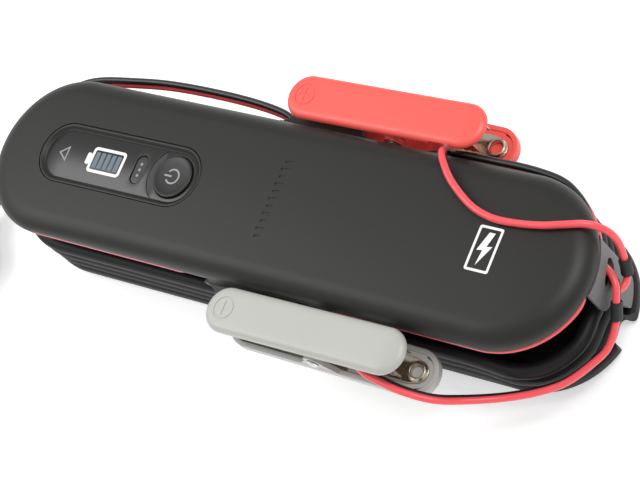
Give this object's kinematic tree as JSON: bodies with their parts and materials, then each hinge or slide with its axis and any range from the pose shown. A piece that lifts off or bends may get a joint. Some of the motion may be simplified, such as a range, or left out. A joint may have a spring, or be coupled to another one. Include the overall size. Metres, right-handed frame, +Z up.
{
  "type": "car battery charger",
  "caption": "Long rounded car battery charger with a sunk display and button, its leads wound round a groove in its side, and a red and a grey battery clamp docked on side ears.",
  "frame": {"origin": "centre of the flat underside of the foot pad, midway between the two rounded ends", "axes": "+X along the charger from the display end towards the strap end, +Y towards the red clamp's side, +Z up"},
  "size_m": [0.3513, 0.1349, 0.0608],
  "materials": {
    "housing_charcoal": "soft-touch, charcoal with a warm tone",
    "base_black": "matte, fine moulded texture",
    "pad_rubber": "matte",
    "seal_rubber": "matte",
    "strap_rubber": "matte grey",
    "display_black": "matte",
    "display_window": "satin, printed with white and grey marks",
    "button_rubber": "soft matte",
    "badge_grey": "matte",
    "light_guide": "translucent",
    "clamp_red": "satin coral red",
    "clamp_grey": "satin warm light grey",
    "nickel": "nickel-plated, lightly worn",
    "steel": "zinc-plated steel",
    "cord_black": "satin PVC jacket",
    "rubber": "matte",
    "lead_red": "satin PVC jacket",
    "lead_black": "satin PVC jacket",
    "board_green": "solder mask",
    "ferrite": "matte ferrite",
    "copper": "enamelled wire",
    "part_black": "moulded component",
    "can_sleeve": "shrink sleeve",
    "aluminium": "anodised",
    "fuse_glass": "clear tube"
  },
  "bodies": {
    "root": {"base_pad": "pad_rubber", "base_shell": "base_black", "case_screw_1": "steel", "case_screw_2": "steel", "case_screw_3": "steel", "case_screw_4": "steel", "choke": "copper", "display_bezel": "display_black", "display_board": "board_green", "display_window": "display_window", "end_strap": "strap_rubber", "fuse": "fuse_glass", "grey_clamp_lower_contact": "nickel", "grey_clamp_lower_half": "clamp_grey", "grey_clamp_pin": "steel", "grey_clamp_spring": "steel", "grey_lead": "lead_black", "grey_lead_sleeve": "rubber", "heat_sink": "aluminium", "housing_seal": "seal_rubber", "input_capacitor": "can_sleeve", "light_guide": "light_guide", "main_board": "board_green", "mains_cord_coil": "cord_black", "mains_cord_tail": "cord_black", "mains_gland": "rubber", "mode_badge": "badge_grey", "output_capacitor": "can_sleeve", "plug_body": "cord_black", "plug_pin_left": "nickel", "plug_pin_right": "nickel", "red_clamp_lower_contact": "nickel", "red_clamp_lower_half": "clamp_red", "red_clamp_pin": "steel", "red_clamp_spring": "steel", "red_lead": "lead_red", "red_lead_sleeve": "rubber", "relay": "part_black", "tact_switch": "part_black", "top_shell": "housing_charcoal", "transformer_core": "ferrite", "transformer_winding": "copper", "twin_lead_coil": "lead_red", "twin_lead_gland": "rubber", "twin_lead_loop": "lead_red"},
    "power_button": {"power_button": "button_rubber"},
    "red_clamp_jaw": {"red_clamp_upper_half": "clamp_red", "red_clamp_upper_contact": "nickel"},
    "grey_clamp_jaw": {"grey_clamp_upper_half": "clamp_grey", "grey_clamp_upper_contact": "nickel"}
  },
  "joints": [
    {"name": "power_button_press", "type": "slide", "parent": "root", "child": "power_button", "axis": [0, 0, -1], "range_m": [0, 0.001], "stiffness_N_per_m": 600},
    {"name": "red_clamp_hinge", "type": "hinge", "parent": "root", "child": "red_clamp_jaw", "pos_m": [0.0396, 0.0475, 0.0435], "axis": [0, -1, 0], "range_deg": [-3.5, 4.5], "stiffness_Nm_per_rad": 0.4},
    {"name": "grey_clamp_hinge", "type": "hinge", "parent": "root", "child": "grey_clamp_jaw", "pos_m": [0.0448, -0.0475, 0.0435], "axis": [0, -1, 0], "range_deg": [-3.5, 4.5], "stiffness_Nm_per_rad": 0.4}
  ]
}
